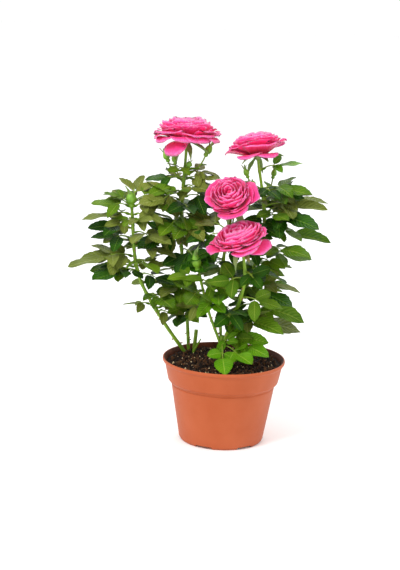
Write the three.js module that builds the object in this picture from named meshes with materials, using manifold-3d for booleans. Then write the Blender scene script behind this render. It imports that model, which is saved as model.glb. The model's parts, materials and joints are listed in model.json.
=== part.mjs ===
// A miniature rose in bloom, standing in its plastic nursery pot. Millimetres, +Z up.
// The pot's axis is the Z axis, its foot stands on Z = 0, and -Y is the front.
import * as THREE from 'three';
import { mergeVertices } from 'three/addons/utils/BufferGeometryUtils.js';
import Module from 'manifold-3d';

const wasm = await Module();
wasm.setup();

// ---------------------------------------------------------------- driving dimensions
const GAP = 0.3; // left between pieces that touch
const SIMPLIFY = 0.1; // cut edges closer together than this are joined

const POT = {
  height: 82,
  rimRadius: 60, // outside of the rounded lip
  lipHeight: 3.5,
  bandTopRadius: 57.8,
  bandBottomRadius: 54,
  bandHeight: 22, // the collar under the lip
  shoulderDrop: 4, // slope from the collar in to the body
  bodyTopRadius: 50.6,
  footRadius: 41.4,
  footBevel: 1.5, // how far the body draws in under its rounded foot edge
  footRise: 2,
  lipRound: 0.8,
  wall: 1.5,
  floor: 3.2, // underside recess plus floor thickness
  recess: 1.8,
  footWidth: 5, // ring that the pot stands on
  bossRadius: 8, // flat pad in the middle of the underside
  segments: 36,
};
const NOTCH = { count: 6, width: 17, height: 2.4, first: -114 };
const DRAIN = { count: 6, radius: 4, ring: 22, sides: 8 };
const SOIL_TOP = 77;
const SOIL_MOUND = 1.5;

const CANE_SIDES = 6;
const CANE_STEP = 14; // length of one straight stretch of a cane

// Each cane: its course from foot to tip, and its radius at both ends.
const CANES = {
  cane_left: { course: [[-35, 30, 72], [-64, 20, 115], [-87, 11, 160], [-95, 4, 232]], foot: 2.3, tip: 1.7 },
  cane_tall: { course: [[-35, 34, 72], [-40, 30, 135], [-47, 24, 200], [-44, 20, 292]], foot: 2.4, tip: 1.8 },
  stock: { course: [[-3, -2, 72], [-3, -2, 88], [-3, -2, 104]], foot: 3.4, tip: 2.9 },
  cane_centre: { course: [[-3, -1, 98], [-7, 4, 145], [-2, -3, 200], [3, -14, 236]], foot: 2.2, tip: 1.8 },
  cane_front: { course: [[-2, -4, 96], [6, -12, 122], [17, -30, 166], [13, -40, 202]], foot: 2.1, tip: 1.9 },
  cane_right: { course: [[-1, 0, 97], [17, 10, 146], [34, 14, 206], [24, 12, 284]], foot: 2.4, tip: 1.7 },
  cane_mid: { course: [[-4, -4, 98], [-16, -8, 128], [-29, -20, 178]], foot: 1.9, tip: 1.4 },
};
const CHILDREN = ['cane_centre', 'cane_front', 'cane_right', 'cane_mid']; // they fork off the stock

// Each bloom: middle, radius, height above and below its widest ring, the way its face
// leans (heading and degrees off upright), and the outer petals that hang away from it
// (heading, reach, drop, breadth).
const BLOOMS = {
  bloom_tall: {
    at: [-43.5, 19, 299], radius: 32, above: 15, below: 9, heading: 90, lean: 8,
    petals: [[-125, 27, 22, 26]],
  },
  bloom_right: {
    at: [24, 12, 291], radius: 28.5, above: 13, below: 12, heading: 125, lean: 17,
    petals: [[-170, 31, 6, 20], [5, 29, -3, 16]],
  },
  bloom_centre: {
    at: [-2, -24, 246], radius: 23, above: 13, below: 17, heading: -110, lean: 42,
    petals: [[10, 28, 0, 26], [-75, 24, 19, 28]],
  },
  bloom_front: {
    at: [6, -45, 211], radius: 28, above: 14, below: 12, heading: -150, lean: 22,
    petals: [[-160, 28, 9, 24], [-25, 31, 8, 28]],
  },
};

// Foliage: each mass is a spray of leaves on a cane, given by the height of its stalk on
// the cane, heading (degrees from +X), reach, rise at the tip, breadth, the number of
// leaflets in its outline, and how far its face turns to the front (degrees off upright).
const SPRAYS = {
  cane_left: [
    [234, 192, 40, 0, 38, 3, 40], [244, 120, 34, 8, 38, 3, 25], [238, -12, 34, 2, 36, 3, 40],
    [219, 188, 52, -2, 30, 3, 25], [206, -42, 48, -6, 46, 3, 50], [196, 160, 42, 0, 34, 3, 20],
    [180, 205, 72, 0, 40, 5, 30], [172, -60, 52, 6, 38, 3, 35], [166, 226, 60, -2, 38, 5, 25],
    [188, 85, 60, 2, 50, 5, 0], [140, -56, 56, 4, 32, 3, 20],
  ],
  cane_tall: [
    [254, 168, 40, 0, 32, 3, 25], [255, -20, 38, 6, 32, 3, 20], [240, -132, 52, -8, 44, 3, 40],
    [218, -105, 52, -8, 42, 3, 50], [216, -55, 52, 0, 38, 3, 40], [202, -138, 54, -12, 36, 3, 40],
    [222, 60, 62, 6, 50, 5, 0], [186, -66, 64, -2, 50, 3, 55], [165, 120, 64, -4, 48, 5, 0],
    [156, -112, 52, -8, 40, 5, 50], [126, -95, 48, -10, 44, 3, 55],
  ],
  cane_mid: [[150, -112, 48, 6, 44, 3, 45]],
  cane_centre: [
    [222, 115, 60, 26, 40, 3, 20], [184, -135, 44, 6, 42, 3, 45], [166, 80, 68, -2, 50, 5, 0],
    [150, -85, 54, 6, 42, 3, 45], [132, -74, 52, 4, 38, 3, 50],
  ],
  cane_right: [
    [262, -5, 40, 22, 28, 3, 30], [242, -15, 52, 10, 38, 5, 25], [230, 12, 64, 14, 38, 5, 15],
    [225, 85, 64, 4, 50, 5, 0], [222, -38, 64, -2, 42, 3, 40], [212, -2, 68, -14, 40, 5, 25],
    [196, -52, 58, -12, 46, 3, 50], [180, 10, 56, 6, 36, 3, 30], [172, -78, 62, -6, 48, 3, 50],
    [160, -12, 52, -8, 34, 3, 35], [168, 60, 68, -6, 50, 5, 0], [146, -45, 60, 2, 42, 5, 35],
    [138, -6, 66, -18, 40, 3, 50], [130, -55, 60, -16, 42, 5, 50], [120, 8, 68, -16, 30, 3, 25],
    [128, 75, 60, -12, 46, 5, 0],
  ],
};
const SPRAY_THICKNESS = 12;
const STALK_CLEAR = 4; // bare stalk between the cane and the leaves
const PAD = { around: 15, layers: 4, lobeDepth: 0.11, uneven: 0.06, sagAlong: 0.16, sagAcross: 0.1, ripple: 0.05 };
const ROSETTE = { around: 18, layers: 7, ruffles: 5, ruffleDepth: 0.05 };
const LOW_SPRAYS = [[112, -86, 52, -25, 24, 3, 55], [106, -50, 52, -19, 30, 3, 50], [116, -22, 52, -10, 30, 3, 40]];

// ---------------------------------------------------------------- materials
const finish = (color, roughness) => new THREE.MeshStandardMaterial({ color, roughness, metalness: 0 });
const POT_PLASTIC = finish(0xc96a40, 0.55);
const DAMP_COMPOST = finish(0x2a1a12, 0.95);
const GREEN_BARK = finish(0x7f9c3a, 0.6);
const ROSE_LEAF = finish(0x3f6b2b, 0.55);
const ROSE_PETAL = finish(0xf0407f, 0.6);

// ---------------------------------------------------------------- solids
const radians = THREE.MathUtils.degToRad;

function toSolid(geometry) {
  geometry.deleteAttribute('normal');
  geometry.deleteAttribute('uv');
  const merged = mergeVertices(geometry, 1e-4);
  return new wasm.Manifold(new wasm.Mesh({
    numProp: 3,
    vertProperties: Float32Array.from(merged.attributes.position.array),
    triVerts: Uint32Array.from(merged.index.array),
  }));
}

function toGeometry(solid) {
  const mesh = solid.getMesh();
  const geometry = new THREE.BufferGeometry();
  geometry.setAttribute('position', new THREE.BufferAttribute(mesh.vertProperties, 3));
  geometry.setIndex(new THREE.BufferAttribute(mesh.triVerts, 1));
  geometry.computeVertexNormals();
  return geometry;
}

function largestPiece(solid) {
  const pieces = solid.simplify(SIMPLIFY).decompose();
  return pieces.reduce((a, b) => (b.volume() > a.volume() ? b : a));
}

function cutBy(solid, tools) {
  return tools.reduce((rest, tool) => rest.subtract(tool), solid);
}

// Moves every vertex of a geometry by a function that changes the point it is given.
function reshape(geometry, move) {
  const position = geometry.attributes.position;
  const point = new THREE.Vector3();
  for (let i = 0; i < position.count; i += 1) {
    move(point.fromBufferAttribute(position, i));
    position.setXYZ(i, point.x, point.y, point.z);
  }
  return geometry;
}

function turned(profile, segments) {
  return new THREE.LatheGeometry(profile.map(([r, z]) => new THREE.Vector2(r, z)), segments).rotateX(Math.PI / 2);
}

// ---------------------------------------------------------------- pot and compost
// Inner radius of the pot wall at a height.
function innerRadius(z) {
  const bandBottom = POT.height - POT.bandHeight;
  const shoulder = bandBottom - POT.shoulderDrop;
  const { lerp, inverseLerp } = THREE.MathUtils;
  if (z <= shoulder) {
    return lerp(POT.footRadius, POT.bodyTopRadius, z / shoulder) - POT.wall;
  }
  if (z <= bandBottom) {
    return lerp(POT.bodyTopRadius, POT.bandBottomRadius, inverseLerp(shoulder, bandBottom, z)) - POT.wall;
  }
  return lerp(POT.bandBottomRadius, POT.bandTopRadius, inverseLerp(bandBottom, POT.height, z)) - POT.wall;
}

function potShell() {
  const bandBottom = POT.height - POT.bandHeight;
  const shoulder = bandBottom - POT.shoulderDrop;
  const lipBottom = POT.height - POT.lipHeight;
  const ringOutside = POT.footRadius - POT.footBevel;
  const ringInside = ringOutside - POT.footWidth;
  return turned([
    [0, 0],
    [POT.bossRadius, 0],
    [POT.bossRadius + 1, POT.recess],
    [ringInside - 1, POT.recess],
    [ringInside, 0],
    [ringOutside, 0],
    [POT.footRadius, POT.footRise],
    [POT.bodyTopRadius, shoulder],
    [POT.bandBottomRadius, bandBottom],
    [POT.bandTopRadius, lipBottom - 1],
    [POT.rimRadius, lipBottom + POT.lipRound],
    [POT.rimRadius, POT.height - POT.lipRound],
    [POT.rimRadius - POT.lipRound, POT.height],
    [POT.rimRadius - POT.wall - POT.lipRound, POT.height],
    [innerRadius(lipBottom), lipBottom],
    [innerRadius(bandBottom), bandBottom],
    [innerRadius(shoulder), shoulder],
    [innerRadius(POT.floor), POT.floor],
    [0, POT.floor],
  ], POT.segments);
}

function potTools() {
  const tools = [];
  for (let i = 0; i < NOTCH.count; i += 1) {
    const notch = new THREE.BoxGeometry(2 * POT.footWidth, NOTCH.width, 2 * NOTCH.height);
    notch.translate(POT.footRadius - 1, 0, 0).rotateZ(radians(NOTCH.first + (i * 360) / NOTCH.count));
    tools.push(toSolid(notch));
  }
  for (let i = 0; i < DRAIN.count; i += 1) {
    const drain = new THREE.CylinderGeometry(DRAIN.radius, DRAIN.radius, 4 * POT.floor, DRAIN.sides);
    drain.rotateX(Math.PI / 2).translate(DRAIN.ring, 0, 0).rotateZ(radians((i * 360) / DRAIN.count));
    tools.push(toSolid(drain));
  }
  return tools;
}

function compost(grow) {
  const bandBottom = POT.height - POT.bandHeight;
  const shoulder = bandBottom - POT.shoulderDrop;
  const bottom = POT.floor + GAP;
  const wall = (z) => [innerRadius(z) - GAP, z];
  return turned([
    [0, bottom],
    wall(bottom),
    wall(shoulder),
    wall(bandBottom),
    wall(SOIL_TOP),
    [POT.footRadius, SOIL_TOP + SOIL_MOUND * 0.6 + grow],
    [0, SOIL_TOP + SOIL_MOUND + grow],
  ], POT.segments);
}

// ---------------------------------------------------------------- canes
const courseOf = ({ course }) => new THREE.CatmullRomCurve3(course.map((p) => new THREE.Vector3(...p)));

// A tapering limb that follows its course; grow makes a fatter one to cut with.
function limb(cane, grow = 0) {
  const path = courseOf(cane);
  const steps = Math.max(2, Math.round(path.getLength() / CANE_STEP));
  const frames = path.computeFrenetFrames(steps);
  const bar = new THREE.CylinderGeometry(1, 1, 1, CANE_SIDES, steps);
  return toSolid(reshape(bar, (p) => {
    const share = p.y + 0.5;
    const ring = Math.round(share * steps);
    const radius = THREE.MathUtils.lerp(cane.foot, cane.tip, share) + grow;
    const across = frames.normals[ring].clone().multiplyScalar(p.x * radius);
    across.addScaledVector(frames.binormals[ring], -p.z * radius);
    p.copy(path.getPointAt(share)).add(across);
  }));
}

// The point of a cane at a height.
function pointAtHeight(cane, z) {
  const points = courseOf(cane).getSpacedPoints(60);
  return points.reduce((a, b) => (Math.abs(b.z - z) < Math.abs(a.z - z) ? b : a));
}

// ---------------------------------------------------------------- foliage
// Axes of a blade that points along a direction with its face turned towards a normal.
function bladeFrame(direction, normal, origin) {
  const x = direction.clone().normalize();
  const z = normal.clone().addScaledVector(x, -normal.dot(x)).normalize();
  return new THREE.Matrix4().makeBasis(x, z.clone().cross(x), z).setPosition(origin);
}

// A thin uneven pad with a lobe for each leaflet, from its stalk end at X = 0 to its tip.
function leafPad({ length, breadth, thickness, lobes, seed }) {
  const ball = new THREE.SphereGeometry(1, PAD.around, PAD.layers).rotateX(Math.PI / 2);
  return reshape(ball, (p) => {
    const angle = Math.atan2(p.y, p.x);
    const lobe = 1 - PAD.lobeDepth * (1 - Math.cos(lobes * angle)) + PAD.uneven * Math.sin(2 * angle + seed);
    const x = p.x * lobe;
    const y = p.y * lobe;
    const sag = PAD.ripple * Math.sin(3 * x + seed) - PAD.sagAlong * x * x - PAD.sagAcross * y * y;
    p.set(length * (0.5 + 0.5 * x), breadth * 0.5 * y, thickness * 0.5 * p.z + breadth * 0.5 * sag);
  });
}

function spray(cane, [height, heading, reach, rise, breadth, lobes, face], seed, grow) {
  const direction = new THREE.Vector3(Math.cos(radians(heading)), Math.sin(radians(heading)), rise / reach);
  const normal = new THREE.Vector3(0, -Math.sin(radians(face)), Math.cos(radians(face)));
  const root = pointAtHeight(cane, height).addScaledVector(direction, STALK_CLEAR - grow);
  const pad = leafPad({
    length: (reach - STALK_CLEAR) * direction.length() + 2 * grow,
    breadth: breadth + 2 * grow,
    thickness: SPRAY_THICKNESS + 2.4 * grow,
    lobes,
    seed,
  });
  return toSolid(pad.applyMatrix4(bladeFrame(direction, normal, root)));
}

// ---------------------------------------------------------------- blooms
// The closed rosette: a low dome above its widest ring and a cup below it, with a ruffled edge.
function rosette({ radius, above, below }, grow) {
  const ball = new THREE.SphereGeometry(1, ROSETTE.around, ROSETTE.layers).rotateX(Math.PI / 2);
  return toSolid(reshape(ball, (p) => {
    const wave = Math.cos(ROSETTE.ruffles * Math.atan2(p.y, p.x) + radius);
    const ruffle = 1 + ROSETTE.ruffleDepth * wave * (1 - p.z * p.z);
    const height = p.z > 0 ? above : below;
    p.set(p.x * (radius * ruffle + grow), p.y * (radius * ruffle + grow), p.z * (height + grow));
  }));
}

function bloom(spec, grow = 0) {
  const { at, heading, lean, petals, below } = spec;
  const middle = new THREE.Vector3(...at);
  const tilt = new THREE.Matrix4().makeRotationAxis(
    new THREE.Vector3(-Math.sin(radians(heading)), Math.cos(radians(heading)), 0),
    radians(lean),
  );
  const whole = rosette(spec, grow).transform(tilt.clone().setPosition(middle).elements);
  return petals.reduce((flower, [turn, reach, drop, breadth], i) => {
    const direction = new THREE.Vector3(Math.cos(radians(turn)), Math.sin(radians(turn)), -drop / reach);
    const pad = leafPad({
      length: reach * direction.length() + grow,
      breadth: breadth + 2 * grow,
      thickness: 0.5 * below + 2.4 * grow,
      lobes: 2,
      seed: i,
    });
    const petal = pad.applyMatrix4(bladeFrame(direction, new THREE.Vector3(0, 0, 1), middle));
    return flower.add(toSolid(petal));
  }, whole);
}

// ---------------------------------------------------------------- the whole plant
const plant = new THREE.Group();

function place(name, solid, material) {
  const mesh = new THREE.Mesh(toGeometry(solid), material);
  mesh.name = name;
  plant.add(mesh);
}

place('pot', largestPiece(cutBy(toSolid(potShell()), potTools())), POT_PLASTIC);
const ground = toSolid(compost(0));
place('compost', ground, DAMP_COMPOST);
const groundCutter = toSolid(compost(GAP));

const bloomCutters = [];
Object.entries(BLOOMS).forEach(([name, spec]) => {
  place(name, largestPiece(cutBy(bloom(spec), bloomCutters)), ROSE_PETAL);
  bloomCutters.push(bloom(spec, GAP));
});

const caneCutters = [];
Object.entries(CANES).forEach(([name, cane]) => {
  const solid = limb(cane).subtract(groundCutter);
  const tools = CHILDREN.includes(name) ? caneCutters : [];
  place(name, largestPiece(cutBy(solid, [...tools, ...bloomCutters])), GREEN_BARK);
  caneCutters.push(limb(cane, GAP));
});

const sprayCutters = [];
function growSprays(caneName, label, rows) {
  rows.forEach((row, i) => {
    const cane = CANES[caneName];
    const seed = sprayCutters.length * 1.7;
    const cutters = [...caneCutters, ...bloomCutters, ...sprayCutters];
    const solid = cutBy(spray(cane, row, seed, 0), cutters);
    place(`${label}_${i + 1}`, largestPiece(solid), ROSE_LEAF);
    sprayCutters.push(spray(cane, row, seed, GAP));
  });
}
Object.entries(SPRAYS).forEach(([caneName, rows]) => {
  growSprays(caneName, caneName.replace('cane', 'leaves'), rows);
});
growSprays('stock', 'leaves_low', LOW_SPRAYS);

export default plant;
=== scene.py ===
"""A miniature pot rose in bloom: green canes, serrated compound leaves, pink rosettes and buds
over dark compost in a plastic nursery pot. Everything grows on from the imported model's canes,
leaf masses and blooms. Metres, +Z up, -Y to the front."""
import json
import math
import random
from functools import partial

import bpy
from mathutils import Matrix, Vector, noise

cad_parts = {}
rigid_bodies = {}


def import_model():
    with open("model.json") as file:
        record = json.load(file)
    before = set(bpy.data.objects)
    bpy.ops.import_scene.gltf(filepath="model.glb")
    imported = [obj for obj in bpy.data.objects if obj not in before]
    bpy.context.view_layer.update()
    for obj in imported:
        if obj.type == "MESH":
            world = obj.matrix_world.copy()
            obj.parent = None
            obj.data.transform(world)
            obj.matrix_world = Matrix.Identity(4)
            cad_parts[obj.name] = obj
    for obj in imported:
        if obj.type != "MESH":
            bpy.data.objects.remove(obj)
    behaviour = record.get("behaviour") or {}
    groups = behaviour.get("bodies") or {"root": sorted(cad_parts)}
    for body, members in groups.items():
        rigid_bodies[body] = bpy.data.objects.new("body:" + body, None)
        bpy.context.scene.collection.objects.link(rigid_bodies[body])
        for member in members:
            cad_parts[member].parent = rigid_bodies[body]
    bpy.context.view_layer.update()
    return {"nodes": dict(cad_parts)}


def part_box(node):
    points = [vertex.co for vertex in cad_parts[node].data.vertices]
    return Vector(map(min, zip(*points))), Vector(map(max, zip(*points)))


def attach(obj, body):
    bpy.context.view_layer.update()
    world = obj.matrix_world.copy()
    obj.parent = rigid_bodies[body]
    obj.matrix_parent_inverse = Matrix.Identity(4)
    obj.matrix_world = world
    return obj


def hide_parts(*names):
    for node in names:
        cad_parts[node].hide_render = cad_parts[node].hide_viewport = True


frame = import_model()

MM = 0.001
TURN = 2 * math.pi
UP = Vector((0, 0, 1))
FRONT = Vector((0, -1, 0))


# ------------------------------------------------------------------ small tools
def polar(angle, radius=1.0, height=0.0):
    """The point at an angle round Z."""
    return Vector((radius * math.cos(angle), radius * math.sin(angle), height))


def curve(a, b, c, t):
    """A point on the curve from a to c that b pulls aside."""
    return a.lerp(b, t).lerp(b.lerp(c, t), t)


def axes(forward, normal, at):
    """The place and turn of a thing whose X points forward and whose Z faces along normal."""
    x = forward.normalized()
    z = (normal - x * normal.dot(x)).normalized()
    return Matrix.Translation(at) @ Matrix((x, z.cross(x), z)).transposed().to_4x4()


def upright(axis, at):
    """The place and turn of a thing that stands with its Z along an axis."""
    return Matrix.Translation(at) @ UP.rotation_difference(axis).to_matrix().to_4x4()


def add_object(name, data):
    thing = bpy.data.objects.new(name, data)
    bpy.context.collection.objects.link(thing)
    return thing


def modified_mesh(thing):
    """A new mesh of a thing with its modifiers worked in."""
    graph = bpy.context.evaluated_depsgraph_get()
    return bpy.data.meshes.new_from_object(thing.evaluated_get(graph), depsgraph=graph)


# ------------------------------------------------------------------ camera and light
CAMERA_AT = Vector((0, -1.5, 0.501))
CAMERA_TARGET = Vector((-0.026, 0, 0.154))
CAMERA_LENS = 100.2
CAMERA_ROLL = 0.0371
ROOM_LIGHT = 1.03
# Each softbox: its place, the height above the middle it points at, its size and its power.
SOFTBOXES = {
    "key_softbox": ((-0.9, -1.1, 1.5), 0.18, 0.7, 22),
    "fill_softbox": ((1.3, -0.8, 0.9), 0.18, 1.2, 4),
    "back_softbox": ((0.3, 1.4, 1.3), 0.2, 1.2, 8),
}
FLOOR_REACH = 6.0


def aimed(at, target):
    return (Vector(target) - Vector(at)).to_track_quat("-Z", "Y")


def add_camera():
    data = bpy.data.cameras.new("studio_camera")
    data.lens = CAMERA_LENS
    camera = add_object("studio_camera", data)
    turn = aimed(CAMERA_AT, CAMERA_TARGET).to_matrix() @ Matrix.Rotation(CAMERA_ROLL, 3, "Z")
    camera.matrix_world = Matrix.Translation(CAMERA_AT) @ turn.to_4x4()
    bpy.context.scene.camera = camera


def add_studio():
    for name, (at, height, size, power) in SOFTBOXES.items():
        data = bpy.data.lights.new(name, "AREA")
        data.shape = "DISK"
        data.size = size
        data.energy = power
        lamp = add_object(name, data)
        lamp.location = at
        lamp.rotation_euler = aimed(at, (0, 0, height)).to_euler()
    world = bpy.data.worlds.new("pale_room")
    world.use_nodes = True
    background = world.node_tree.nodes["Background"]
    background.inputs["Color"].default_value = (1, 1, 1, 1)
    background.inputs["Strength"].default_value = ROOM_LIGHT
    bpy.context.scene.world = world
    bpy.context.scene.view_settings.view_transform = "Standard"


def make_floor():
    r = FLOOR_REACH
    corners = [Vector((x, y, 0)) for x, y in ((-r, -r), (r, -r), (r, r), (-r, r))]
    material, _, shader = new_material("pale_floor", 0.9, 0.2)
    shader["Base Color"].default_value = (0.97, 0.97, 0.97, 1)
    Heap().add(corners, [(0, 1, 2, 3)]).piece("floor", material)


# ------------------------------------------------------------------ nodes
def wire(tree, value, socket):
    """Feeds a socket with a plain value, another socket, or a node's first output."""
    if isinstance(value, bpy.types.Node):
        value = value.outputs[0]
    if isinstance(value, bpy.types.NodeSocket):
        tree.links.new(value, socket)
    else:
        socket.default_value = value


def add_node(tree, kind, inputs=None, **settings):
    """A node with its settings made, and then its named or numbered inputs fed."""
    node = tree.nodes.new(kind)
    for label, value in settings.items():
        setattr(node, label, value)
    for key, value in (inputs or {}).items():
        wire(tree, value, node.inputs[key])
    return node


def new_group(kind, name, inputs, outputs):
    """A node group, with its inputs and outputs as label and type, and the wires in and out."""
    group = bpy.data.node_groups.new(name, kind + "NodeTree")
    for way, sockets in (("INPUT", inputs), ("OUTPUT", outputs)):
        for label, sort in sockets.items():
            group.interface.new_socket(label, in_out=way, socket_type="NodeSocket" + sort)
    return group, group.nodes.new("NodeGroupInput").outputs, group.nodes.new("NodeGroupOutput").inputs


def math_node(tree, operation, *values):
    return add_node(tree, "ShaderNodeMath", dict(enumerate(values)), operation=operation)


def mix_colour(tree, factor, a, b):
    return add_node(tree, "ShaderNodeMix", {0: factor, 6: a, 7: b}, data_type="RGBA").outputs[2]


def map_range(tree, value, low, high, to_low=0.0, to_high=1.0):
    return add_node(tree, "ShaderNodeMapRange", {
        "Value": value, "From Min": low, "From Max": high, "To Min": to_low, "To Max": to_high,
    })


def noise_value(tree, vector, scale, detail=3.0, distortion=0.0):
    return add_node(tree, "ShaderNodeTexNoise", {
        "Vector": vector, "Scale": scale, "Detail": detail, "Distortion": distortion,
    })


# ------------------------------------------------------------------ shader groups
VEIN_PAIRS = 8.0
VEIN_SWEEP = 2.4
VEIN_WIDTH = 0.14


def make_mottle():
    """Two colours in soft patches, with a finer speckle inside them."""
    group, given, result = new_group("Shader", "soft mottle", {
        "Vector": "Vector", "Colour": "Color", "Patch Colour": "Color", "Patch Scale": "Float",
        "Patch Share": "Float",
    }, {"Colour": "Color"})
    calc = partial(math_node, group)
    wide = noise_value(group, given["Vector"], given["Patch Scale"], 2.0, 0.4)
    fine = noise_value(group, given["Vector"], calc("MULTIPLY", given["Patch Scale"], 7.0))
    both = calc("ADD", calc("MULTIPLY", wide, 0.75), calc("MULTIPLY", fine, 0.25))
    start = calc("SUBTRACT", 0.74, calc("MULTIPLY", given["Patch Share"], 0.7))
    mask = calc("MULTIPLY", calc("SUBTRACT", both, start), 4.0)
    clamp = add_node(group, "ShaderNodeClamp", {"Value": mask})
    wire(group, mix_colour(group, clamp, given["Colour"], given["Patch Colour"]), result["Colour"])
    return group


def make_grain():
    """A fine uneven surface: broad unevenness and a small tooth, as one height."""
    group, given, result = new_group(
        "Shader", "fine grain", {"Vector": "Vector", "Scale": "Float", "Tooth": "Float"}, {"Height": "Float"},
    )
    calc = partial(math_node, group)
    broad = noise_value(group, given["Vector"], given["Scale"], 2.0)
    tooth = noise_value(group, given["Vector"], calc("MULTIPLY", given["Scale"], 5.0), 4.0)
    wire(group, calc("ADD", broad, calc("MULTIPLY", tooth, given["Tooth"])), result["Height"])
    return group


def blade_uv(tree):
    """A blade's own UV, whole and then as its shares across and along."""
    uv = add_node(tree, "ShaderNodeUVMap", uv_map="blade")
    across, along, _ = add_node(tree, "ShaderNodeSeparateXYZ", {0: uv}).outputs
    return uv, across, along


def make_veins():
    """Side veins of a blade, running forward from its midrib, and the blade's height between."""
    group, _, result = new_group("Shader", "blade veins", {}, {"Vein": "Float", "Height": "Float"})
    calc = partial(math_node, group)
    _, u, v = blade_uv(group)
    across = calc("MULTIPLY", calc("ABSOLUTE", calc("SUBTRACT", u, 0.5)), 2.0)
    bow = calc("MULTIPLY", calc("POWER", across, 1.25), VEIN_SWEEP)
    run = calc("SUBTRACT", calc("MULTIPLY", v, VEIN_PAIRS), bow)
    wave = calc("ABSOLUTE", calc("SUBTRACT", calc("FRACT", calc("ADD", run, 20.0)), 0.5))
    near = calc("DIVIDE", calc("SUBTRACT", wave, 0.5 - VEIN_WIDTH), VEIN_WIDTH)
    vein = calc("MULTIPLY", calc("MAXIMUM", near, 0.0), map_range(group, across, 0.95, 0.6))
    rib = map_range(group, across, 0.075, 0.02)
    line = calc("MAXIMUM", calc("MULTIPLY", vein, 0.4), rib)
    wire(group, line, result["Vein"])
    pillow = calc("SINE", calc("MULTIPLY", calc("FRACT", calc("ADD", run, 20.5)), math.pi))
    wire(group, calc("SUBTRACT", pillow, calc("MULTIPLY", line, 0.7)), result["Height"])
    return group


MOTTLE = make_mottle()
GRAIN = make_grain()
VEINS = make_veins()


# ------------------------------------------------------------------ materials
def srgb(colour):
    """A colour given in the usual 0 to 255 steps, as the shader's linear light."""
    linear = [((v / 255 + 0.055) / 1.055) ** 2.4 if v > 10 else v / 255 / 12.92 for v in colour]
    return (*linear, 1)


def new_material(name, roughness, specular=0.5):
    """A material, its node tree and its shader's inputs."""
    material = bpy.data.materials.new(name)
    material.use_nodes = True
    shader = material.node_tree.nodes["Principled BSDF"].inputs
    shader["Roughness"].default_value = roughness
    shader["Specular IOR Level"].default_value = specular
    return material, material.node_tree, shader


def object_vector(tree):
    return tree.nodes.new("ShaderNodeTexCoord").outputs["Object"]


def add_group(tree, group, **values):
    """A group at work in a tree. An underscore in an input's name stands for a space."""
    inputs = {label.replace("_", " "): value for label, value in values.items()}
    return add_node(tree, "ShaderNodeGroup", inputs, node_tree=group)


def add_bump(tree, shader, height, distance):
    bump = add_node(tree, "ShaderNodeBump", {"Distance": distance, "Strength": 1.0, "Height": height})
    wire(tree, bump, shader["Normal"])


def mottled(name, colour, patch, patch_scale, share, roughness, grain, relief, specular=0.5):
    """A finish with soft colour patches and a fine grain, whose relief is in millimetres."""
    material, tree, shader = new_material(name, roughness, specular)
    vector = object_vector(tree)
    spots = add_group(tree, MOTTLE, Vector=vector, Colour=srgb(colour), Patch_Colour=srgb(patch),
                      Patch_Scale=patch_scale, Patch_Share=share)
    wire(tree, spots, shader["Base Color"])
    fine = add_group(tree, GRAIN, Vector=vector, Scale=grain, Tooth=0.5)
    add_bump(tree, shader, fine, relief * MM)
    wire(tree, map_range(tree, fine, 0.3, 1.2, roughness - 0.07, roughness + 0.1), shader["Roughness"])
    return material


def blade_material(name, colour, patch, vein, roughness, specular, quilt):
    """A leaf face: mottled blade, paler veins, and the blade pillowed between them."""
    material, tree, shader = new_material(name, roughness, specular)
    calc = partial(math_node, tree)
    vector = object_vector(tree)
    spots = add_group(tree, MOTTLE, Vector=vector, Colour=srgb(colour), Patch_Colour=srgb(patch),
                      Patch_Scale=17.0, Patch_Share=0.5)
    veins = add_group(tree, VEINS)
    share = calc("MULTIPLY", veins, 0.62)
    wire(tree, mix_colour(tree, share, spots.outputs[0], srgb(vein)), shader["Base Color"])
    fine = add_group(tree, GRAIN, Vector=vector, Scale=900.0, Tooth=0.4)
    add_bump(tree, shader, calc("ADD", veins.outputs["Height"], calc("MULTIPLY", fine, 0.35)), quilt * MM)
    wire(tree, map_range(tree, fine, 0.3, 1.1, roughness - 0.06, roughness + 0.08), shader["Roughness"])
    return material


def petal_material(shaded_claw, pink, edge):
    """Velvety petal: darker towards the claw as painted shade, lighter to its edge as a painted highlight,
    with faint lengthwise streaks.
    """
    material, tree, shader = new_material("rose_petal", 0.5, 0.35)
    calc = partial(math_node, tree)
    uv, _, along = blade_uv(tree)
    stretch = add_node(tree, "ShaderNodeMapping", {"Scale": (22, 2.2, 1), "Vector": uv})
    streak = noise_value(tree, stretch, 1.6)
    along = calc("ADD", along, map_range(tree, streak, 0.3, 0.7, -0.12, 0.12))
    # Painted shade: the petal darkens towards its claw, deep inside the bloom.
    body = mix_colour(tree, map_range(tree, along, 0.25, 0.8), srgb(shaded_claw), srgb(pink))
    # Painted highlight: the petal turns paler pink along its rim.
    rim = mix_colour(tree, map_range(tree, along, 0.82, 1.02), body, srgb(edge))
    wire(tree, rim, shader["Base Color"])
    fine = add_group(tree, GRAIN, Vector=object_vector(tree), Scale=500.0, Tooth=0.3)
    add_bump(tree, shader, calc("ADD", calc("MULTIPLY", streak, 1.4), fine), 0.12 * MM)
    shader["Sheen Weight"].default_value = 0.15
    shader["Subsurface Weight"].default_value = 0.4
    shader["Subsurface Radius"].default_value = (1.0, 0.25, 0.35)
    shader["Subsurface Scale"].default_value = 4 * MM
    return material


# Petal colours: painted shade at the claw, the petal's pink, and a painted highlight at the rim.
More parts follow.
